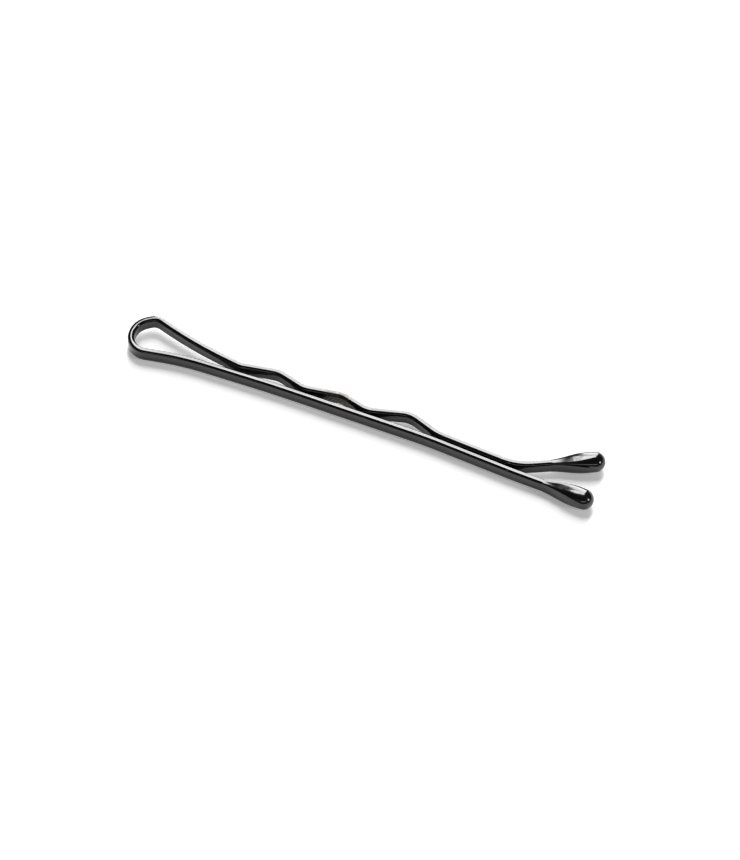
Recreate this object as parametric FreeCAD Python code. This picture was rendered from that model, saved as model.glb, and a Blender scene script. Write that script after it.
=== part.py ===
import FreeCAD, Part
import math
import os

# Bobby pin lying on its side, in millimetres and degrees. The flat wire stands on edge
# and is bent in the XY plane: X runs along the legs from the bow to the tips, Y from the
# straight leg to the crimped leg, and Z is up. The wire's centreline is a chain of bend
# points, each rounded by an arc. Reaches are measured along X from the bow's end, heights
# and drops along Y from the straight leg's centreline, and lifts and climbs along Z.

# Flat spring wire
wire_width = 1.5
wire_thickness = 0.7
edge_round = 0.3

# How it lies: the tips touch the floor, the straight leg is just clear of it, and the bow
# climbs to carry the crimped leg higher, which sinks again until past its grip
straight_leg_lift = 0.12
bow_climb = 0.4
clamp_climb = 0.06

# Straight leg: it rises from the heel, less from its root on, runs level from its waist,
# leans out beside the clamp run and levels off again towards its tip
root_reach = 5.8
root_drop = 0.31
root_radius = 30.0
waist_reach = 15.5
waist_radius = 150.0
knee_lead = 1.0
knee_radius = 60.0
toe_drop = 0.586
toe_radius = 60.0
straight_tip_drop = 0.8
straight_tip_overhang = 0.6

# Bow: the round eye that works as the spring
heel_drop = 1.45
heel_radius = 1.68
crown_height = 1.74
crown_radius = 2.0
shoulder_reach = 1.7
shoulder_height = 2.93
shoulder_radius = 1.2

# Shank: the sagging stretch that closes down from the shoulder to the first wave
shank_reach = 6.2
shank_height = 1.57
shank_radius = 45.0

# Waves of the crimped leg: the gaps are clearances between the two legs at the bend points
first_trough_reach = 11.7
wave_pitch = 6.9
last_wave_pitch = 7.5
wave_radius = 2.6
first_trough_gap = 0.12
first_crest_gap = 0.86
grip_trough_gap = 0.06
grip_crest_gap = 0.77
last_trough_gap = 0.02
last_crest_gap = 1.22

# Clamp run beside the straight leg, and the tail that flares away from it
clamp_gap = 0.12
clamp_length = 8.8
clamp_radius = 6.0
kink_radius = 6.0
tail_length = 7.88
tail_angle = 27.3

# Resin tips dipped over the two wire ends
tip_diameter = 2.1
drop_length = 4.4
resin_film = 0.06

# Places along a wave and along a resin drop, and the most that the wire's edge can be rounded
crest_share = 0.56
drop_section_shares = [0, 0.25, 0.5, 0.75, 1]
edge_round_limit_share = 0.45
no_length = 1e-6


def flat(reach, height):
    """Point of the centreline, level with the middle of the straight leg's width."""
    return FreeCAD.Vector(reach, height, 0)


def left_of(direction):
    """Unit vector to the left of a direction in the XY plane."""
    return FreeCAD.Vector(-direction.y, direction.x, 0)


class Bend:
    """Arc that rounds one bend point, from the run before it to the run after it."""

    def __init__(self, point, before, after, radius):
        turn = math.atan2(before.cross(after).z, before.dot(after))
        reach = radius * math.tan(abs(turn) / 2)
        self.before = before
        self.after = after
        self.radius = radius
        self.side = math.copysign(1, turn)
        self.start = point - before * reach
        self.end = point + after * reach
        self.centre = self.start + left_of(before) * self.side * radius
        self.outward = (point - self.centre).normalize()

    def edge(self, offset):
        """The arc, moved sideways by an offset to the left of the path."""
        start = self.start + left_of(self.before) * offset
        middle = self.centre + self.outward * (self.radius - self.side * offset)
        end = self.end + left_of(self.after) * offset
        return Part.Arc(start, middle, end).toShape()


def wave_corners(trough_reach, pitch, trough_gap, crest_gap):
    """Trough and crest of one wave of the crimped leg, with their radii."""
    trough = flat(trough_reach, wire_thickness + trough_gap)
    crest = flat(trough_reach + pitch * crest_share, wire_thickness + crest_gap)
    return [(trough, wave_radius), (crest, wave_radius)]


def centreline():
    """Straight tip, bend points with their radii, and crimped tip, in order along the wire."""
    grip_reach = first_trough_reach + wave_pitch
    last_reach = grip_reach + wave_pitch
    clamp_reach = last_reach + last_wave_pitch
    kink_reach = clamp_reach + clamp_length
    knee_reach = clamp_reach - knee_lead
    lean = toe_drop / (kink_reach - knee_reach)

    def beside_straight_leg(reach):
        return flat(reach, wire_thickness + clamp_gap - lean * (reach - knee_reach))

    flare = math.radians(tail_angle)
    tail = FreeCAD.Vector(tail_length * math.cos(flare), tail_length * math.sin(flare), 0)
    crimped_tip = beside_straight_leg(kink_reach) + tail
    straight_tip = flat(crimped_tip.x + straight_tip_overhang, -straight_tip_drop)
    corners = [
        (flat(kink_reach, -toe_drop), toe_radius),
        (flat(knee_reach, 0), knee_radius),
        (flat(waist_reach, 0), waist_radius),
        (flat(root_reach, -root_drop), root_radius),
        (flat(0, -heel_drop), heel_radius),
        (flat(0, crown_height), crown_radius),
        (flat(shoulder_reach, shoulder_height), shoulder_radius),
        (flat(shank_reach, shank_height), shank_radius),
        *wave_corners(first_trough_reach, wave_pitch, first_trough_gap, first_crest_gap),
        *wave_corners(grip_reach, wave_pitch, grip_trough_gap, grip_crest_gap),
        *wave_corners(last_reach, last_wave_pitch, last_trough_gap, last_crest_gap),
        (beside_straight_leg(clamp_reach), clamp_radius),
        (beside_straight_leg(kink_reach), kink_radius),
    ]
    return straight_tip, corners, crimped_tip


def bends_along(straight_tip, corners, crimped_tip):
    """Bends of the centreline. Two arcs that are too long for their run shrink to share it."""
    points = [straight_tip, *[point for point, radius in corners], crimped_tip]
    runs = [end - start for start, end in zip(points, points[1:])]
    lengths = [run.Length for run in runs]
    ways = [run.normalize() for run in runs]
    reaches = [0]
    for (point, radius), before, after in zip(corners, ways, ways[1:]):
        reaches.append(radius * math.tan(before.getAngle(after) / 2))
    reaches.append(0)
    fits = [min(1, length / (near + far)) for length, near, far in zip(lengths, reaches, reaches[1:])]
    bends = []
    for number, (point, radius) in enumerate(corners):
        fit = min(fits[number], fits[number + 1])
        bends.append(Bend(point, ways[number], ways[number + 1], radius * fit))
    return bends


def face_edges(start, bends, end, offset):
    """Lines and arcs of one wide face of a stretch, at an offset from its centreline."""
    edges = []
    place = start
    for bend in bends:
        aside = left_of(bend.before) * offset
        if (bend.start - place).Length > no_length:
            edges.append(Part.LineSegment(place + aside, bend.start + aside).toShape())
        edges.append(bend.edge(offset))
        place = bend.end
    aside = left_of(bends[-1].after) * offset
    if (end - place).Length > no_length:
        edges.append(Part.LineSegment(place + aside, end + aside).toShape())
    return edges


def wire_stretch(start, bends, end):
    """Solid stretch of flat wire with rounded edges and square ends."""
    half = wire_thickness / 2
    outline = face_edges(start, bends, end, half) + face_edges(start, bends, end, -half)
    for place, way in ((start, bends[0].before), (end, bends[-1].after)):
        aside = left_of(way) * half
        outline.append(Part.LineSegment(place - aside, place + aside).toShape())
    section = Part.Face(Part.Wire(Part.__sortEdges__(outline)))
    lower_edge = section.translated(FreeCAD.Vector(0, 0, -wire_width / 2))
    ribbon = lower_edge.extrude(FreeCAD.Vector(0, 0, wire_width))
    long_edges = []
    for edge in ribbon.Edges:
        middle = edge.CenterOfMass
        from_ends = [math.dist((middle.x, middle.y), (place.x, place.y)) for place in (start, end)]
        if edge.BoundBox.ZLength < no_length and min(from_ends) > no_length:
            long_edges.append(edge)
    return ribbon.makeFillet(min(edge_round, wire_thickness * edge_round_limit_share), long_edges)


def climbing(stretch, way, start, start_climb, end, end_climb):
    """Stretch sheared upwards along a way in plan, to reach one climb at its start and one at its end."""
    slope = (end_climb - start_climb) / way.dot(end - start)
    base = start_climb - slope * way.dot(start)
    rows = (1, 0, 0, 0, 0, 1, 0, 0, slope * way.x, slope * way.y, 1, base)
    return stretch.transformGeometry(FreeCAD.Matrix(*rows))


def resin_tip(wire_tip, way, wire_end):
    """Drop of resin round a wire end: a flat neck that swells into a ball, with a pocket for the wire."""
    ball = tip_diameter / 2
    ball_rise = FreeCAD.Vector(0, 0, ball - straight_leg_lift - wire_width / 2 - wire_tip.z)
    neck_half_thickness = wire_thickness / 2 + resin_film
    neck_half_width = wire_width / 2 + resin_film
    unit_circle = Part.Wire(Part.makeCircle(1))
    sections = []
    for share in drop_section_shares:
        swell = share * share * (3 - 2 * share)
        side = left_of(way) * (neck_half_thickness + (ball - neck_half_thickness) * swell)
        half_width = neck_half_width + (ball - neck_half_width) * swell
        place = wire_tip - way * (drop_length * (1 - share)) + ball_rise * swell
        rows = (side.x, 0, way.x, place.x, side.y, 0, way.y, place.y, 0, half_width, 0, place.z)
        sections.append(unit_circle.transformGeometry(FreeCAD.Matrix(*rows)))
    drop = Part.makeLoft(sections, True)
    dome = Part.makeSphere(ball, wire_tip + ball_rise, way, 0, 90)
    return drop.fuse(dome).cut(wire_end)


def build():
    """All pieces by name, and named places: the flexures and the middle of the flat outer face."""
    straight_tip, corners, crimped_tip = centreline()
    bends = bends_along(straight_tip, corners, crimped_tip)
    bends_of_stretch = {
        "straight_leg": 4,
        "bow_heel": 1,
        "bow_crown": 2,
        "shank": 1,
        "first_wave": 2,
        "grip_wave": 2,
        "last_wave": 2,
        "clamp_run": 1,
        "flared_tail": 1,
    }
    half = wire_thickness / 2
    along, across = FreeCAD.Vector(1, 0, 0), FreeCAD.Vector(0, 1, 0)
    shoulder_rise = FreeCAD.Vector(0, 0, bow_climb)
    clamp_rise = FreeCAD.Vector(0, 0, clamp_climb)
    pieces = {}
    cuts = {}
    outer_sides = {}
    start = straight_tip
    rest = bends
    for name, count in bends_of_stretch.items():
        own, rest = rest[:count], rest[count:]
        end = (own[-1].end + rest[0].start) / 2 if rest else crimped_tip
        pieces[name] = wire_stretch(start, own, end)
        cuts[name] = end
        outer_sides[name] = left_of(own[-1].after) * half
        start = end
    heel_cut, shoulder_cut, grip_cut = cuts["straight_leg"], cuts["bow_crown"], cuts["grip_wave"]
    for name in ("bow_heel", "bow_crown"):
        pieces[name] = climbing(pieces[name], across, heel_cut, 0, shoulder_cut, bow_climb)
    for name in ("shank", "first_wave", "grip_wave"):
        pieces[name] = climbing(pieces[name], along, shoulder_cut, bow_climb, grip_cut, clamp_climb)
    for name in ("last_wave", "clamp_run", "flared_tail"):
        pieces[name] = pieces[name].translated(clamp_rise)
    straight_way = bends[0].before * -1
    pieces["straight_leg_tip"] = resin_tip(straight_tip, straight_way, pieces["straight_leg"])
    pieces["crimped_leg_tip"] = resin_tip(crimped_tip + clamp_rise, bends[-1].after, pieces["flared_tail"])
    knee, waist = bends[1:3]
    places = {
        "heel_flex": heel_cut + outer_sides["straight_leg"],
        "shoulder_flex": shoulder_cut + outer_sides["bow_crown"] + shoulder_rise,
        "outer_face": (knee.end + waist.start) / 2 + left_of(waist.before) * half,
    }
    return pieces, places


pieces, places = build()
box = FreeCAD.BoundBox()
for shape in pieces.values():
    box.add(shape.optimalBoundingBox(False, False))
to_origin = FreeCAD.Vector(-box.Center.x, -box.Center.y, -box.ZMin)
os.makedirs("parts", exist_ok=True)
for name, shape in pieces.items():
    seated = shape.translated(to_origin)
    seated.exportStep(f"parts/{name}.step")
    print(name, seated.isValid(), len(seated.Solids), round(seated.Volume, 4))
for name, place in places.items():
    print(name, [round(value, 4) for value in place + to_origin])
print("size", round(box.XLength, 3), round(box.YLength, 3), round(box.ZLength, 3))
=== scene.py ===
# %% [markdown]
# # A bobby pin, from bare wire to finished picture
# The pin is one strip of flat spring wire, bent into a straight leg, a round bow and a waved
# leg, lacquered black, with a drop of resin on each end. The imported model holds its sizes and
# its joints. This file dresses that model: each piece is made in place, in metres, and the grip,
# the tail and the two drops are told which body they move with. We load the model first and keep
# its box, to compare with at the end.

# %% Load the imported model
import math

import bmesh
import bpy
import numpy as np
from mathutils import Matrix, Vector


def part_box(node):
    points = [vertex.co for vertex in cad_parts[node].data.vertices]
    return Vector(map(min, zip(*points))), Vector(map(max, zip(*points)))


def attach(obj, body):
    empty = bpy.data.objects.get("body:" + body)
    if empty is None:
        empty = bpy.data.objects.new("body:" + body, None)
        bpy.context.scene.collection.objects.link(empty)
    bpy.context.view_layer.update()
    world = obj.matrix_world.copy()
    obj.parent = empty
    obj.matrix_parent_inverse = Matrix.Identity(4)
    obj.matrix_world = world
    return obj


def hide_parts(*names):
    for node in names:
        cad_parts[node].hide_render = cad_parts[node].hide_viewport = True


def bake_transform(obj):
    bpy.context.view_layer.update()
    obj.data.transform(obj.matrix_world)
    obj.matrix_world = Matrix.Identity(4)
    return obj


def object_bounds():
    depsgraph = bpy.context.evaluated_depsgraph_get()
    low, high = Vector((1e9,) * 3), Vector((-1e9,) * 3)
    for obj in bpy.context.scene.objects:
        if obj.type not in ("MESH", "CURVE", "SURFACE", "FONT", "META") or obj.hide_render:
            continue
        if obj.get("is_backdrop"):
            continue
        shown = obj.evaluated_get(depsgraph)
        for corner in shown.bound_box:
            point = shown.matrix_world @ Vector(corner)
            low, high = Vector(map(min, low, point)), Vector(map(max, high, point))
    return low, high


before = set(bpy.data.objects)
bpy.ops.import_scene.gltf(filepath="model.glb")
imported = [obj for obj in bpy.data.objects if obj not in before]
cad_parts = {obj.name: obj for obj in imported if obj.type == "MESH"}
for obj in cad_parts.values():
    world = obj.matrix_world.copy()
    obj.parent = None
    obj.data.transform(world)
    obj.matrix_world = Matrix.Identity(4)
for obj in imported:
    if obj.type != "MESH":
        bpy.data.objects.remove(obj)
cad_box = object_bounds()
mm = 0.001


# %% [markdown]
# ## A few helpers
# Colours are picked as sRGB hex values, the way they are read off a screen, but shaders work in
# linear light, so one function turns the first into the second. Another adds a node to any tree:
# it sets the node's properties, and gives each input either a value or a link. With it, a tree
# reads as a list of what feeds what. The last two start a material, and turn the real size of a
# mark on a surface into the scale of the pattern that draws it.

# %% Colours, nodes and materials
def linear(hex_colour):
    """Linear red, green, blue and alpha of an sRGB hex value."""
    values = [int(hex_colour[place:place + 2], 16) / 255 for place in (0, 2, 4)]
    return [v / 12.92 if v <= 0.04045 else ((v + 0.055) / 1.055) ** 2.4 for v in values] + [1]


def add(tree, kind, inputs=None, **settings):
    """Add a node to a tree, with its settings, and with values or links on its inputs."""
    made = tree.nodes.new(kind)
    for name, value in settings.items():
        setattr(made, name, value)
    for name, value in (inputs or {}).items():
        if isinstance(value, bpy.types.NodeSocket):
            tree.links.new(value, made.inputs[name])
        else:
            made.inputs[name].default_value = value
    return made


def empty_material(name):
    """New material whose node tree holds nothing yet."""
    made = bpy.data.materials.new(name)
    made.use_nodes = True
    made.node_tree.nodes.clear()
    return made


def scale_for(size):
    """Pattern scale at which one swell is about this many millimetres across."""
    return 1 / (size * mm)


print("mid grey 808080 is", round(linear("808080")[0], 3), "in linear light")

# %% [markdown]
# ## The camera
# The pin lies on a table and is looked down on from in front, a little to the right. A long lens
# from far away keeps the legs parallel. The camera is placed by two angles and one distance, and
# looks at a point just in front of the pin, so that the pin sits a little above the middle.

# %% Place the camera
scene = bpy.context.scene
scene.view_settings.view_transform = "Standard"
camera_azimuth = math.radians(22.45)
camera_elevation = math.radians(55)
camera_distance = 900 * mm
picture_height = 860
pixels_per_metre = 9990
aim_height = 1.0 * mm
aim_right = 0.40 * mm
aim_down = 2.46 * mm

backward = Vector((
    math.sin(camera_azimuth) * math.cos(camera_elevation),
    -math.cos(camera_azimuth) * math.cos(camera_elevation),
    math.sin(camera_elevation),
))
turned = backward.to_track_quat("Z", "Y")
aim = Vector((0, 0, aim_height)) + turned @ Vector((aim_right, -aim_down, 0))
lens = bpy.data.cameras.new("camera")
lens.lens = pixels_per_metre * camera_distance * lens.sensor_width / picture_height
lens.clip_start = 10 * mm
camera = bpy.data.objects.new("camera", lens)
camera.rotation_euler = turned.to_euler()
camera.location = aim + backward * camera_distance
scene.collection.objects.link(camera)
scene.camera = camera
print(f"camera with a {lens.lens:.0f} mm lens, {camera_distance / mm:.0f} mm from the pin")

# %% [markdown]
# ## The table
# The pin lies on a matt white board. Under these lamps plain white paint comes out light grey, and
# more light would wash out the pin. So the board also glows a little, but only to the camera and in
# mirrors, by asking what kind of ray has met it. It then looks white, the gloss of the pin mirrors
# a white board, and the shadows stay.

# %% Build the table
table_size = 6000 * mm
glow_share = 0.27

# Matt white board: it mirrors nothing, so all that the eye finds on it is the pin's shadow.
matt_white = empty_material("matt_white_table")
tree = matt_white.node_tree
ray = add(tree, "ShaderNodeLightPath")
looked_at = add(tree, "ShaderNodeMath", {
    0: ray.outputs["Is Camera Ray"], 1: ray.outputs["Is Glossy Ray"]}, operation="MAXIMUM")
looked_at = add(tree, "ShaderNodeMath", {
    0: looked_at.outputs[0], 1: ray.outputs["Is Transmission Ray"]}, operation="MAXIMUM")
share = add(tree, "ShaderNodeMath", {0: looked_at.outputs[0], 1: glow_share}, operation="MULTIPLY")
paper = add(tree, "ShaderNodeBsdfDiffuse", {"Color": linear("f8f8f8")})
glow = add(tree, "ShaderNodeEmission", {"Color": linear("ffffff"), "Strength": share.outputs[0]})
white = add(tree, "ShaderNodeAddShader", {0: paper.outputs["BSDF"], 1: glow.outputs["Emission"]})
add(tree, "ShaderNodeOutputMaterial", {"Surface": white.outputs["Shader"]})

half = table_size / 2
board = bpy.data.meshes.new("table")
corners = [(-half, -half, 0), (half, -half, 0), (half, half, 0), (-half, half, 0)]
board.from_pydata(corners, [], [(0, 1, 2, 3)])
board.materials.append(matt_white)
table = bpy.data.objects.new("table", board)
scene.collection.objects.link(table)
table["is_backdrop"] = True
print(f"table {table_size:.0f} m wide, with a glow of {glow_share}")

# %% [markdown]
# ## The light
# Gloss black shows little but its surroundings, so the light is most of the look. A soft box stands
# high behind the pin, where the camera sees it mirrored in the wire's narrow upper edge: that edge
# turns white, and the shadows fall towards us. A tall bright wall stands lower behind, a little to
# the right, and lights the far rounding of that edge, so that it fades into the white table. A long
# strip in front and a small one at the right put glints on the tips. The room is dim, so the
# roundings that mirror nothing else stay black.

# %% Hang the lamps and dim the room
lamp_distance = 700 * mm
room_light = 0.05


def soft_lamp(name, swing, elevation, width, height, radiance):
    """Lamp facing the pin, swung round it from straight behind and raised, in degrees."""
    turn = camera_azimuth + math.radians(swing)
    rise = math.radians(elevation)
    towards = Vector((-math.sin(turn) * math.cos(rise), math.cos(turn) * math.cos(rise), math.sin(rise)))
    lamp = bpy.data.lights.new(name, "AREA")
    lamp.shape = "RECTANGLE"
    lamp.size = width
    lamp.size_y = height
    lamp.energy = radiance * math.pi * width * height
    holder = bpy.data.objects.new(name, lamp)
    holder.location = towards * lamp_distance
    holder.rotation_euler = towards.to_track_quat("Z", "Y").to_euler()
    holder.visible_camera = False
    scene.collection.objects.link(holder)
    print(f"{name}: {width / mm:.0f} x {height / mm:.0f} mm at {lamp.energy:.2f} W")


soft_lamp("soft_box", swing=0, elevation=62, width=220 * mm, height=260 * mm, radiance=17)
soft_lamp("bright_wall", swing=-9, elevation=26, width=300 * mm, height=620 * mm, radiance=13)
soft_lamp("front_strip", swing=180, elevation=27, width=700 * mm, height=80 * mm, radiance=3)
soft_lamp("side_strip", swing=-115, elevation=25, width=100 * mm, height=150 * mm, radiance=24)

room = bpy.data.worlds.new("dim_room")
room.use_nodes = True
tree = room.node_tree
tree.nodes.clear()
walls = add(tree, "ShaderNodeBackground", {"Color": linear("ffffff"), "Strength": room_light})
add(tree, "ShaderNodeOutputWorld", {"Surface": walls.outputs["Background"]})
scene.world = room

# %% [markdown]
# ## Black lacquer on the wire
# Pin wire is rolled flat, bent, and then dipped or sprayed with a thin gloss lacquer. Its surface
# is clear resin, so it mirrors faintly head-on and more at a slant, like glass. Fine lines from
# drawing the wire show through along its length, and the film itself is slightly uneven. Noise on
# the piece's own coordinates would do for the film, but the lines follow the wire, so they are read
# from two attributes that the wire's mesh carries: how far along it a point is, and where in its
# section.

# %% Make the lacquer
# Gloss lacquer on drawn wire: deep black, with long mirrored stripes that waver a little, faint
# lines along the wire and a pale speck here and there.
lacquer = empty_material("black_lacquer_on_spring_steel")
tree = lacquer.node_tree

# Marks are in millimetres. Real drawing lines are finer, and are drawn this coarse to show.
line_spacing = 0.12
line_length = 12.0
line_scale = (scale_for(line_length), scale_for(line_spacing), scale_for(line_spacing))
run = add(tree, "ShaderNodeAttribute", attribute_name="wire_run")
section = add(tree, "ShaderNodeAttribute", attribute_name="wire_section")
split = add(tree, "ShaderNodeSeparateXYZ", {"Vector": section.outputs["Vector"]})
wire_place = add(tree, "ShaderNodeCombineXYZ", {
    "X": run.outputs["Fac"], "Y": split.outputs["X"], "Z": split.outputs["Y"]})
line_place = add(tree, "ShaderNodeVectorMath", {
    0: wire_place.outputs[0], 1: line_scale}, operation="MULTIPLY")
drawn_lines = add(tree, "ShaderNodeTexNoise", {
    "Vector": line_place.outputs[0], "Scale": 1.0, "Detail": 2.0, "Roughness": 0.6})
lined = add(tree, "ShaderNodeBump", {
    "Height": drawn_lines.outputs["Fac"], "Strength": 0.35, "Distance": 0.01 * mm})

# The film's own unevenness, in small swells, and its duller patches.
film_swell = 0.5
dull_patch = 3
place = add(tree, "ShaderNodeTexCoord")
film = add(tree, "ShaderNodeTexNoise", {
    "Vector": place.outputs["Object"], "Scale": scale_for(film_swell), "Detail": 1.0})
uneven = add(tree, "ShaderNodeBump", {
    "Height": film.outputs["Fac"], "Strength": 0.4, "Distance": 0.012 * mm,
    "Normal": lined.outputs["Normal"]})
patches = add(tree, "ShaderNodeTexNoise", {
    "Vector": place.outputs["Object"], "Scale": scale_for(dull_patch), "Detail": 3.0})
sheen = add(tree, "ShaderNodeMapRange", {
    "Value": patches.outputs["Fac"], "From Min": 0.35, "From Max": 0.65, "To Min": 0.07, "To Max": 0.13})

# A few specks where dust or a knock has marked the film.
speck = 0.22
specks = add(tree, "ShaderNodeTexNoise", {
    "Vector": place.outputs["Object"], "Scale": scale_for(speck), "Detail": 0.0})
marked = add(tree, "ShaderNodeMapRange", {
    "Value": specks.outputs["Fac"], "From Min": 0.80, "From Max": 0.86})
colour = add(tree, "ShaderNodeMix", {
    "Factor": marked.outputs["Result"], "A": linear("08080a"), "B": linear("4a4643")}, data_type="RGBA")
coat = add(tree, "ShaderNodeBsdfPrincipled", {
    "Base Color": colour.outputs["Result"], "Roughness": sheen.outputs["Result"], "IOR": 1.55,
    "Normal": uneven.outputs["Normal"]})
add(tree, "ShaderNodeOutputMaterial", {"Surface": coat.outputs["BSDF"]})
print(lacquer.name, "has", len(tree.nodes), "nodes")

# %% [markdown]
# ## Worn lacquer on the grip
# The crest of the middle wave is rolled with small slanting ridges that bite into the hair. Lacquer
# is thin on top of a ridge, so it rubs off there and warm, dull steel shows through, while the
# grooves stay black. The wire's mesh carries two attributes for this: the height of the ridges, and
# how far a point lies within the grip. With some noise they tell the shader where the steel is bare.

# %% Make the worn lacquer
# Lacquer rubbed through on ridged steel: mottled warm grey in slanting bars, duller than the rest.
worn = empty_material("worn_lacquer_on_ridged_steel")
tree = worn.node_tree
rubbed_patch = 0.4
film_grain = 0.12
ridge_rub = 0.5
place = add(tree, "ShaderNodeTexCoord")
ridge = add(tree, "ShaderNodeAttribute", attribute_name="ridge")
grip = add(tree, "ShaderNodeAttribute", attribute_name="grip")
rubbing = add(tree, "ShaderNodeTexNoise", {
    "Vector": place.outputs["Object"], "Scale": scale_for(rubbed_patch), "Detail": 3.0, "Roughness": 0.65})
rubbed = add(tree, "ShaderNodeMath", {
    0: ridge.outputs["Fac"], 1: ridge_rub, 2: rubbing.outputs["Fac"]}, operation="MULTIPLY_ADD")
thin = add(tree, "ShaderNodeMapRange", {
    "Value": rubbed.outputs[0], "From Min": 0.5, "From Max": 0.74, "To Max": 0.9})
bare = add(tree, "ShaderNodeMath", {
    0: thin.outputs["Result"], 1: grip.outputs["Fac"]}, operation="MULTIPLY")
dulling = add(tree, "ShaderNodeMapRange", {"Value": grip.outputs["Fac"], "To Min": 0.13, "To Max": 0.3})
film = add(tree, "ShaderNodeTexNoise", {
    "Vector": place.outputs["Object"], "Scale": scale_for(film_grain), "Detail": 2.0})
rough_film = add(tree, "ShaderNodeMath", {
    0: film.outputs["Fac"], 1: grip.outputs["Fac"]}, operation="MULTIPLY")
grain = add(tree, "ShaderNodeBump", {
    "Height": rough_film.outputs[0], "Strength": 0.5, "Distance": 0.02 * mm})
dull_black = add(tree, "ShaderNodeBsdfPrincipled", {
    "Base Color": linear("0a0a0b"), "Roughness": dulling.outputs["Result"], "IOR": 1.55,
    "Normal": grain.outputs["Normal"]})
warm_steel = add(tree, "ShaderNodeBsdfPrincipled", {
    "Base Color": linear("77706a"), "Metallic": 1.0, "Roughness": 0.42, "Normal": grain.outputs["Normal"]})
mixed = add(tree, "ShaderNodeMixShader", {
    "Fac": bare.outputs[0], 1: dull_black.outputs["BSDF"], 2: warm_steel.outputs["BSDF"]})
add(tree, "ShaderNodeOutputMaterial", {"Surface": mixed.outputs["Shader"]})
print(worn.name, "has", len(tree.nodes), "nodes")

# %% [markdown]
# ## Gloss resin on the tips
# Each end of the wire is dipped in black resin, which draws itself into a ball as it sets. It sets
# glossy, but a tip is what fingers hold, so handling has dulled it here and there. A little
# waviness is left, as a dipped drop has.

# %% Make the resin
# Dipped resin: black, with small bright spots where lamps are mirrored in the round of the drop.
resin = empty_material("gloss_black_dipped_resin")
tree = resin.node_tree
drop_wave = 1.4
handled_patch = 0.6
place = add(tree, "ShaderNodeTexCoord")
waves = add(tree, "ShaderNodeTexNoise", {
    "Vector": place.outputs["Object"], "Scale": scale_for(drop_wave), "Detail": 1.0})
wavy = add(tree, "ShaderNodeBump", {
    "Height": waves.outputs["Fac"], "Strength": 0.3, "Distance": 0.05 * mm})
handled = add(tree, "ShaderNodeTexNoise", {
    "Vector": place.outputs["Object"], "Scale": scale_for(handled_patch), "Detail": 3.0})
sheen = add(tree, "ShaderNodeMapRange", {
    "Value": handled.outputs["Fac"], "From Min": 0.4, "From Max": 0.7, "To Min": 0.1, "To Max": 0.22})
gloss = add(tree, "ShaderNodeBsdfPrincipled", {
    "Base Color": linear("0b0b0c"), "Roughness": sheen.outputs["Result"], "IOR": 1.54,
    "Normal": wavy.outputs["Normal"]})
add(tree, "ShaderNodeOutputMaterial", {"Surface": gloss.outputs["BSDF"]})
print(resin.name, "has", len(tree.nodes), "nodes")

# %% [markdown]
# ## The wire's path
# A wire bender is set by a list of bend points and radii, and so is this path. It starts at the
# straight tip, runs back to the bow, round it, and out along the waved leg. All is in millimetres,
# with reaches measured from the bow's end and heights from the straight leg. The path is then put
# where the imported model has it, by the place of that model's own straight tip.

# %% Sizes of the wire and its bend points
wire_width = 1.5
wire_thickness = 0.7
edge_round = 0.3
straight_lift = 0.12
bow_climb = 0.4
clamp_climb = 0.06
tip_ball = 1.05

# The straight leg is level from its waist to its knee, and slopes down from there to its toe.
knee_reach = 32.0
toe_reach = 41.8
toe_drop = 0.586

# Waves, each with its crest a little past its middle, and then a run beside the sloping leg.
first_trough = 11.7
wave_pitch = 6.9
last_wave_pitch = 7.5
crest_share = 0.56
wave_radius = 2.6
clamp_gap = 0.12
clamp_radius = 6.0
grip_trough = first_trough + wave_pitch
last_trough = grip_trough + wave_pitch
clamp_reach = last_trough + last_wave_pitch
clamp_drop = toe_drop * (clamp_reach - knee_reach) / (toe_reach - knee_reach)

# Reach, height and radius of each bend, in order along the wire. The legs touch at one thickness.
touching = wire_thickness
kink_height = touching + clamp_gap - toe_drop
bends = [
    ("toe", toe_reach, -toe_drop, 60),
    ("knee", knee_reach, 0, 60),
    ("waist", 15.5, 0, 150),
    ("root", 5.8, -0.31, 30),
    ("heel", 0, -1.45, 1.68),
    ("crown", 0, 1.74, 2.0),
    ("shoulder", 1.7, 2.93, 1.2),
    ("shank", 6.2, 1.57, 45),
    ("first_trough", first_trough, touching + 0.12, wave_radius),
    ("first_crest", first_trough + crest_share * wave_pitch, touching + 0.86, wave_radius),
    ("grip_trough", grip_trough, touching + 0.06, wave_radius),
    ("grip_crest", grip_trough + crest_share * wave_pitch, touching + 0.77, wave_radius),
    ("last_trough", last_trough, touching + 0.02, wave_radius),
    ("last_crest", last_trough + crest_share * last_wave_pitch, touching + 1.22, wave_radius),
    ("clamp", clamp_reach, touching + clamp_gap - clamp_drop, clamp_radius),
    ("kink", toe_reach, kink_height, clamp_radius),
]
tail_length = 7.88
tail_angle = math.radians(27.3)
tip_overhang = 0.6
straight_tip_drop = 0.8
crimped_tip = (
    toe_reach + tail_length * math.cos(tail_angle),
    kink_height + tail_length * math.sin(tail_angle),
)
straight_tip = (crimped_tip[0] + tip_overhang, -straight_tip_drop)
for name, tip in [("straight", straight_tip), ("crimped", crimped_tip)]:
    print(f"{name} tip at {tip[0]:.2f}, {tip[1]:.2f} mm")

# %% [markdown]
# ## Lengths along the wire
# Later steps need to know where along the wire each bend lies: to cut it, and to put the grip on a
# crest. A bend of a given radius takes up some of the straight run on both of its sides, so where
# two bends would meet, their radii are shrunk until they fit.

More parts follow.
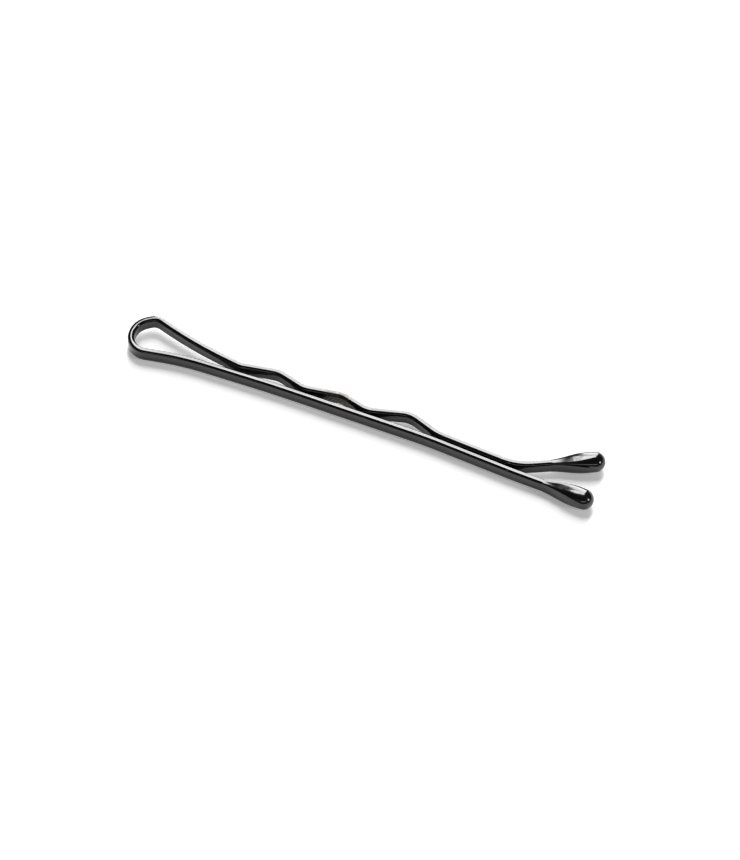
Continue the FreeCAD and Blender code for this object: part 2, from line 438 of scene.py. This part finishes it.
# %% Where each bend starts and ends along the wire
def fitted_bends(points, radii):
    """Radii shrunk to fit the runs between the points, each bend's start and end, and the whole length."""
    runs = np.diff(points, axis=0)
    lengths = np.linalg.norm(runs, axis=1)
    ways = runs / lengths[:, None]
    turns = np.arccos(np.clip((ways[:-1] * ways[1:]).sum(axis=1), -1, 1))
    reaches = np.concatenate([[0], radii * np.tan(turns / 2), [0]])
    fits = np.minimum(1, lengths / (reaches[:-1] + reaches[1:]))
    radii = radii * np.minimum(fits[:-1], fits[1:])
    reaches = np.concatenate([[0], radii * np.tan(turns / 2), [0]])
    straights = lengths - reaches[:-1] - reaches[1:]
    arcs = radii * turns
    ends = np.cumsum(straights[:-1] + arcs)
    return radii, ends - arcs, ends, ends[-1] + straights[-1]


names = [bend[0] for bend in bends]
plan = np.array([straight_tip, *[(reach, height) for name, reach, height, radius in bends], crimped_tip])
wanted_radii = np.array([radius for name, reach, height, radius in bends], float)
radii, starts, ends, wire_length = fitted_bends(plan, wanted_radii)

# The middle of each bend, and the middle of the straight run that follows it, where it can be cut.
middles = dict(zip(names, (starts + ends) / 2))
cuts = dict(zip(names, (ends[:-1] + starts[1:]) / 2))

tip_low, tip_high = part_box("straight_leg_tip")
shift = np.array([
    tip_high.x / mm - tip_ball - straight_tip[0],
    tip_low.y / mm + tip_ball - straight_tip[1],
    straight_lift + wire_width / 2,
])
print(f"{wire_length:.2f} mm of wire with {len(bends)} bends, shifted by {np.round(shift, 3)}")

# %% [markdown]
# ## Flat wire from a path, with Geometry Nodes
# The wire follows a rule: one section swept along one path. So a node tree makes it, and the same
# tree makes every stretch from its named inputs. First the bend points become a curve, each corner
# is rounded by its own radius, and a stretch is cut out by two lengths. Then the path is lifted:
# the bow climbs a little on its way round, and the waved leg sinks again until it is past the grip.

# %% Name the tree's inputs
wire_tree = bpy.data.node_groups.new("bent_flat_wire", "GeometryNodeTree")
wire_inputs = {}
for name, kind in [
    ("Bend points", "Geometry"), ("From", "Float"), ("To", "Float"), ("Ring spacing", "Float"),
    ("Width", "Float"), ("Thickness", "Float"), ("Edge round", "Float"), ("Section spacing", "Float"),
    ("Climb", "Float"), ("Climb from", "Float"), ("Climb to", "Float"),
    ("Settle", "Float"), ("Settle to", "Float"),
    ("Ridge pitch", "Float"), ("Ridge depth", "Float"), ("Ridges from", "Float"), ("Ridges to", "Float"),
    ("Seed", "Float"), ("Finish", "Material"),
]:
    wire_inputs[name] = wire_tree.interface.new_socket(
        name, in_out="INPUT", socket_type=f"NodeSocket{kind}")
wire_tree.interface.new_socket("Wire", in_out="OUTPUT", socket_type="NodeSocketGeometry")
given = add(wire_tree, "NodeGroupInput").outputs
print(wire_tree.name, "has", len(wire_inputs), "inputs")

# %% Bend and lift the path
bend_steps = 64
bend_radius = add(wire_tree, "GeometryNodeInputNamedAttribute", {"Name": "bend_radius"}, data_type="FLOAT")
path = add(wire_tree, "GeometryNodeMeshToCurve", {"Mesh": given["Bend points"]})
path = add(wire_tree, "GeometryNodeFilletCurve", {
    "Curve": path.outputs["Curve"], "Radius": bend_radius.outputs["Attribute"], "Count": bend_steps},
    mode="POLY")
# Inputs 4 and 5 are the start and the end as lengths; two others with the same names are shares.
path = add(wire_tree, "GeometryNodeTrimCurve", {
    "Curve": path.outputs["Curve"], 4: given["From"], 5: given["To"]}, mode="LENGTH")
path = add(wire_tree, "GeometryNodeResampleCurve", {
    "Curve": path.outputs["Curve"], "Length": given["Ring spacing"]}, mode="LENGTH")

so_far = add(wire_tree, "GeometryNodeSplineParameter")
along = add(wire_tree, "ShaderNodeMath", {0: so_far.outputs["Length"], 1: given["From"]}, operation="ADD")
path = add(wire_tree, "GeometryNodeStoreNamedAttribute", {
    "Geometry": path.outputs["Curve"], "Name": "wire_run", "Value": along.outputs[0]},
    data_type="FLOAT", domain="POINT")
stored_run = add(wire_tree, "GeometryNodeInputNamedAttribute", {"Name": "wire_run"}, data_type="FLOAT")
run = stored_run.outputs["Attribute"]
climb = add(wire_tree, "ShaderNodeMapRange", {
    "Value": run, "From Min": given["Climb from"], "From Max": given["Climb to"], "To Max": given["Climb"]},
    interpolation_type="SMOOTHSTEP")
settle = add(wire_tree, "ShaderNodeMapRange", {
    "Value": run, "From Min": given["Climb to"], "From Max": given["Settle to"], "To Max": given["Settle"]})
height = add(wire_tree, "ShaderNodeMath", {
    0: climb.outputs["Result"], 1: settle.outputs["Result"]}, operation="SUBTRACT")
upward = add(wire_tree, "ShaderNodeCombineXYZ", {"Z": height.outputs[0]})
path = add(wire_tree, "GeometryNodeSetPosition", {
    "Geometry": path.outputs["Geometry"], "Offset": upward.outputs["Vector"]})
path = add(wire_tree, "GeometryNodeSetCurveNormal", {"Curve": path.outputs["Geometry"]}, mode="Z_UP")
print("the path takes", len(wire_tree.nodes), "nodes")

# %% [markdown]
# ## The section and its sweep
# Rolling leaves round edges on flat wire, so the section is a rectangle with filleted corners. A
# rectangle has no points on its flat sides, and ridges need some there to be pressed in, so the
# section is resampled evenly. Its own coordinates are stored on it before the sweep, and the
# lacquer's lines and the ridges read them.

# %% Sweep the section along the path
edge_steps = 7
rolled = add(wire_tree, "GeometryNodeCurvePrimitiveQuadrilateral", {
    "Width": given["Thickness"], "Height": given["Width"]})
rolled = add(wire_tree, "GeometryNodeFilletCurve", {
    "Curve": rolled.outputs["Curve"], "Radius": given["Edge round"], "Count": edge_steps,
    "Limit Radius": True}, mode="POLY")
rolled = add(wire_tree, "GeometryNodeResampleCurve", {
    "Curve": rolled.outputs["Curve"], "Length": given["Section spacing"]}, mode="LENGTH")
in_section = add(wire_tree, "GeometryNodeInputPosition")
rolled = add(wire_tree, "GeometryNodeStoreNamedAttribute", {
    "Geometry": rolled.outputs["Curve"], "Name": "wire_section", "Value": in_section.outputs["Position"]},
    data_type="FLOAT_VECTOR", domain="POINT")
wire = add(wire_tree, "GeometryNodeCurveToMesh", {
    "Curve": path.outputs["Curve"], "Profile Curve": rolled.outputs["Geometry"], "Fill Caps": True})
print("with the sweep it has", len(wire_tree.nodes), "nodes")

# %% [markdown]
# ## Ridges on the grip
# The grip's ridges are rolled across the wire's wide face at a slant, and no two are quite alike.
# They could be bump in the shader, but then the mesh by itself would be smooth, so they are pressed
# into it. The height of the ridges is a row of arches along the wire, made uneven by noise, and it
# fades out at the grip's ends and at the wire's edges. The shader reads the height and the fade.

# %% Work out how high the ridges stand
ridge_slant = 0.6
ridge_gain = 1.5
ridge_wander = 0.4
shifted_run = add(wire_tree, "ShaderNodeMath", {0: run, 1: given["Seed"]}, operation="ADD")
wander = add(wire_tree, "ShaderNodeTexNoise", {
    "W": shifted_run.outputs[0], "Scale": scale_for(ridge_wander), "Detail": 1.0}, noise_dimensions="1D")
section = add(wire_tree, "GeometryNodeInputNamedAttribute", {
    "Name": "wire_section"}, data_type="FLOAT_VECTOR")
in_width = add(wire_tree, "ShaderNodeSeparateXYZ", {"Vector": section.outputs["Attribute"]})
slanted = add(wire_tree, "ShaderNodeMath", {
    0: in_width.outputs["Y"], 1: ridge_slant, 2: run}, operation="MULTIPLY_ADD")
turns = add(wire_tree, "ShaderNodeMath", {
    0: slanted.outputs[0], 1: given["Ridge pitch"]}, operation="DIVIDE")
phase = add(wire_tree, "ShaderNodeMath", {0: turns.outputs[0], 1: math.pi}, operation="MULTIPLY")
wave = add(wire_tree, "ShaderNodeMath", {0: phase.outputs[0]}, operation="SINE")
arch = add(wire_tree, "ShaderNodeMath", {0: wave.outputs[0]}, operation="ABSOLUTE")
uneven = add(wire_tree, "ShaderNodeMath", {
    0: arch.outputs[0], 1: wander.outputs["Fac"]}, operation="MULTIPLY")
rise = add(wire_tree, "ShaderNodeMath", {
    0: uneven.outputs[0], 1: ridge_gain}, operation="MULTIPLY", use_clamp=True)
print("with the height of the ridges it has", len(wire_tree.nodes), "nodes")

# %% Fade the ridges out at the grip's ends and the wire's edges
end_fade = 0.6 * mm
flat_face = 0.3 * mm
face_edge = 0.6 * mm
near_end = add(wire_tree, "ShaderNodeMath", {0: run, 1: given["Ridges from"]}, operation="SUBTRACT")
far_end = add(wire_tree, "ShaderNodeMath", {0: given["Ridges to"], 1: run}, operation="SUBTRACT")
within = add(wire_tree, "ShaderNodeMath", {
    0: near_end.outputs[0], 1: far_end.outputs[0]}, operation="MINIMUM")
in_grip = add(wire_tree, "ShaderNodeMapRange", {
    "Value": within.outputs[0], "From Max": end_fade}, interpolation_type="SMOOTHSTEP")
wire = add(wire_tree, "GeometryNodeStoreNamedAttribute", {
    "Geometry": wire.outputs["Mesh"], "Name": "grip", "Value": in_grip.outputs["Result"]},
    data_type="FLOAT", domain="POINT")
from_middle = add(wire_tree, "ShaderNodeMath", {0: in_width.outputs["Y"]}, operation="ABSOLUTE")
on_face = add(wire_tree, "ShaderNodeMapRange", {
    "Value": from_middle.outputs[0], "From Min": flat_face, "From Max": face_edge,
    "To Min": 1.0, "To Max": 0.0})
fade = add(wire_tree, "ShaderNodeMath", {
    0: in_grip.outputs["Result"], 1: on_face.outputs["Result"]}, operation="MULTIPLY")
ridge = add(wire_tree, "ShaderNodeMath", {0: rise.outputs[0], 1: fade.outputs[0]}, operation="MULTIPLY")
wire = add(wire_tree, "GeometryNodeStoreNamedAttribute", {
    "Geometry": wire.outputs["Geometry"], "Name": "ridge", "Value": ridge.outputs[0]},
    data_type="FLOAT", domain="POINT")
print("with their fade it has", len(wire_tree.nodes), "nodes")

# %% Press the grooves between the ridges and end the tree
sunk = add(wire_tree, "ShaderNodeMath", {0: fade.outputs[0], 1: ridge.outputs[0]}, operation="SUBTRACT")
depth = add(wire_tree, "ShaderNodeMath", {
    0: sunk.outputs[0], 1: given["Ridge depth"]}, operation="MULTIPLY")
inward = add(wire_tree, "ShaderNodeMath", {0: depth.outputs[0], 1: -1.0}, operation="MULTIPLY")
outward = add(wire_tree, "GeometryNodeInputNormal")
pressed = add(wire_tree, "ShaderNodeVectorMath", {
    "Vector": outward.outputs["Normal"], "Scale": inward.outputs[0]}, operation="SCALE")
wire = add(wire_tree, "GeometryNodeSetPosition", {
    "Geometry": wire.outputs["Geometry"], "Offset": pressed.outputs["Vector"]})
wire = add(wire_tree, "GeometryNodeRealizeInstances", {"Geometry": wire.outputs["Geometry"]})
wire = add(wire_tree, "GeometryNodeSetMaterial", {
    "Geometry": wire.outputs["Geometry"], "Material": given["Finish"]})
add(wire_tree, "NodeGroupOutput", {"Wire": wire.outputs["Geometry"]})
print("the whole tree has", len(wire_tree.nodes), "nodes")

# %% [markdown]
# ## Four stretches of wire
# In the real pin the wire is whole. Here it is cut where the bodies and the finishes change: in
# the bow, where the two legs meet, and on both sides of the grip. The cuts lie in straight runs
# between two bends, where the two ends meet without a seam. Each stretch is evaluated once, kept
# as a plain mesh, and its modifier is removed.

# %% Make the stretches
section_spacing = 0.06
ridge_pitch = 0.42
ridges_before_crest = 1.9
ridges_after_crest = 1.5
ridge_seed = 7.0


def print_shell(mesh):
    """Print how many faces a mesh has, and its volume, which is above zero if they point outwards."""
    shell = bmesh.new()
    shell.from_mesh(mesh)
    volume = shell.calc_volume(signed=True) / mm ** 3
    print(f"{mesh.name}: {len(mesh.polygons)} faces, {volume:.3f} cubic mm")
    shell.free()


def wire_stretch(name, start, end, finish, ring_spacing, ridge_depth=0.0):
    """One stretch of the wire as a plain mesh, between two lengths along it, in millimetres."""
    bend_points = bpy.data.meshes.new(f"{name}_bend_points")
    corners = [(x + shift[0], y + shift[1], shift[2]) for x, y in plan]
    links = [(number, number + 1) for number in range(len(corners) - 1)]
    bend_points.from_pydata([Vector(corner) * mm for corner in corners], links, [])
    radius = bend_points.attributes.new("bend_radius", "FLOAT", "POINT")
    radius.data.foreach_set("value", [0, *(radii * mm), 0])
    stretch = bpy.data.objects.new(name, bend_points)
    scene.collection.objects.link(stretch)
    sweep = stretch.modifiers.new("sweep", "NODES")
    sweep.node_group = wire_tree
    lengths = {
        "From": start, "To": end, "Ring spacing": ring_spacing,
        "Width": wire_width, "Thickness": wire_thickness, "Edge round": edge_round,
        "Section spacing": section_spacing,
        "Climb": bow_climb, "Climb from": cuts["root"], "Climb to": cuts["shoulder"],
        "Settle": bow_climb - clamp_climb, "Settle to": cuts["grip_crest"],
        "Ridge pitch": ridge_pitch, "Ridge depth": ridge_depth,
        "Ridges from": middles["grip_crest"] - ridges_before_crest,
        "Ridges to": middles["grip_crest"] + ridges_after_crest,
        "Seed": ridge_seed,
    }
    for label, value in lengths.items():
        sweep[wire_inputs[label].identifier] = float(value * mm)
    sweep[wire_inputs["Finish"].identifier] = finish
    depsgraph = bpy.context.evaluated_depsgraph_get()
    swept = bpy.data.meshes.new_from_object(
        stretch.evaluated_get(depsgraph), preserve_all_data_layers=True, depsgraph=depsgraph)
    stretch.modifiers.clear()
    stretch.data = swept
    swept.name = name
    print_shell(swept)
    return stretch


straight_wire = wire_stretch("straight_wire", 0, cuts["heel"], lacquer, ring_spacing=0.1)
shank_wire = wire_stretch("shank_wire", cuts["heel"], cuts["first_crest"], lacquer, ring_spacing=0.08)
grip_wire = wire_stretch(
    "grip_wire", cuts["first_crest"], cuts["grip_crest"], worn, ring_spacing=0.03, ridge_depth=0.04)
tail_wire = wire_stretch("tail_wire", cuts["grip_crest"], wire_length, lacquer, ring_spacing=0.1)

# %% [markdown]
# ## The resin drops
# A drop starts as a thin film round the flat wire and swells into a ball that touches the table.
# It could be a sphere with a cone, but resin keeps the wire's flat sides for a while and rounds
# them off slowly. So rings are laid along the wire: each is a superellipse, whose exponent turns
# a rounded rectangle into a circle as it falls to two, and a dome closes the end. The film's edge
# starts just under the wire's surface, so that no gap shows round it.

# %% Lay the rings of a drop
drop_length = 4.4
resin_film = 0.06
film_tuck = 0.01
film_share = 0.5
squareness = 3.4
squareness_fall = 0.8
ring_points = 72
neck_rings = 60
dome_rings = 28
angles = np.linspace(0, 2 * math.pi, ring_points, endpoint=False)
cosines = np.cos(angles)
sines = np.sin(angles)
up = np.array([0, 0, 1])


def drop_rings(tip, way, side):
    """Rings of a drop in order along the wire, from its film's edge to its dome, and the dome's pole."""
    rise = tip_ball - tip[2]
    rings = []
    for share in np.linspace(0, 1, neck_rings):
        swell = share * share * (3 - 2 * share)
        film = (resin_film + film_tuck) * min(1, share / film_share) - film_tuck
        half_thickness = (wire_thickness / 2 + film) * (1 - swell) + tip_ball * swell
        half_width = (wire_width / 2 + film) * (1 - swell) + tip_ball * swell
        exponent = 2 + squareness * (1 - swell) ** squareness_fall
        across_thickness = np.abs(cosines / half_thickness) ** exponent
        across_width = np.abs(sines / half_width) ** exponent
        reach = (across_thickness + across_width) ** (-1 / exponent)
        middle = tip - way * drop_length * (1 - share) + up * rise * swell
        rings.append(middle + np.outer(reach * cosines, side) + np.outer(reach * sines, up))
    ball_middle = tip + up * rise
    across = np.outer(cosines, side) + np.outer(sines, up)
    for lean in np.linspace(0, math.pi / 2, dome_rings)[1:-1]:
        rings.append(ball_middle + tip_ball * (across * math.cos(lean) + way * math.sin(lean)))
    return rings, ball_middle + way * tip_ball


print(f"a drop {drop_length} mm long ends in a ball {2 * tip_ball} mm across")

# %% Close the rings and make the drops
def closed_faces(ring_count):
    """Faces that close the first ring, join each ring to the next and meet at the pole."""
    faces = [tuple(range(ring_points))[::-1]]
    for ring in range(ring_count - 1):
        low = ring * ring_points
        high = low + ring_points
        for point in range(ring_points):
            following = (point + 1) % ring_points
            faces.append((low + point, low + following, high + following, high + point))
    last = (ring_count - 1) * ring_points
    pole = ring_count * ring_points
    for point in range(ring_points):
        faces.append((last + point, last + (point + 1) % ring_points, pole))
    return faces


def resin_drop(name, tip, way, tip_height):
    """Drop of resin on a wire end that points along a way, as a plain mesh."""
    way = np.array([*way, 0]) / np.hypot(*way)
    side = np.array([-way[1], way[0], 0])
    tip = np.array([*tip, 0]) + shift + up * tip_height
    rings, pole = drop_rings(tip, way, side)
    vertices = np.concatenate([*rings, pole[None]]) * mm
    faces = closed_faces(len(rings))
    mesh = bpy.data.meshes.new(name)
    mesh.from_pydata(vertices.tolist(), [], faces)
    mesh.polygons.foreach_set("use_smooth", [False] + [True] * (len(faces) - 1))
    mesh.materials.append(resin)
    drop = bpy.data.objects.new(name, mesh)
    scene.collection.objects.link(drop)
    print_shell(mesh)
    return drop


straight_drop = resin_drop("straight_drop", straight_tip, plan[0] - plan[1], tip_height=0)
crimped_drop = resin_drop("crimped_drop", crimped_tip, plan[-1] - plan[-2], tip_height=clamp_climb)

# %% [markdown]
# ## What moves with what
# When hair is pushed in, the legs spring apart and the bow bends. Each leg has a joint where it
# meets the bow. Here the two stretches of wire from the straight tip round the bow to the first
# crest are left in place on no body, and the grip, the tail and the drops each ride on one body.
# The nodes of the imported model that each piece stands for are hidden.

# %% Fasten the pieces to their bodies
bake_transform(straight_wire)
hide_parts("straight_leg", "bow_heel")
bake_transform(shank_wire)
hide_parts("bow_crown", "shank", "first_wave")
for piece, body, nodes in [
    (grip_wire, "crimped_leg", ["grip_wave"]),
    (tail_wire, "crimped_leg", ["last_wave", "clamp_run", "flared_tail"]),
    (straight_drop, "straight_leg", ["straight_leg_tip"]),
    (crimped_drop, "crimped_leg", ["crimped_leg_tip"]),
]:
    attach(piece, body)
    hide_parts(*nodes)
print("pieces fastened")

# %% [markdown]
# ## Compare the sizes and finish
# The dressed pin has to be as large as the imported model, no more and no less, so both boxes are
# printed side by side.

# %% Write the sizes and finish
dressed_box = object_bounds()
sizes = {
    "cad": [[float(value) for value in corner] for corner in cad_box],
    "dressed": [[float(value) for value in corner] for corner in dressed_box],
}
for name, (low, high) in sizes.items():
    print(name, [round((b - a) / mm, 3) for a, b in zip(low, high)], "mm")
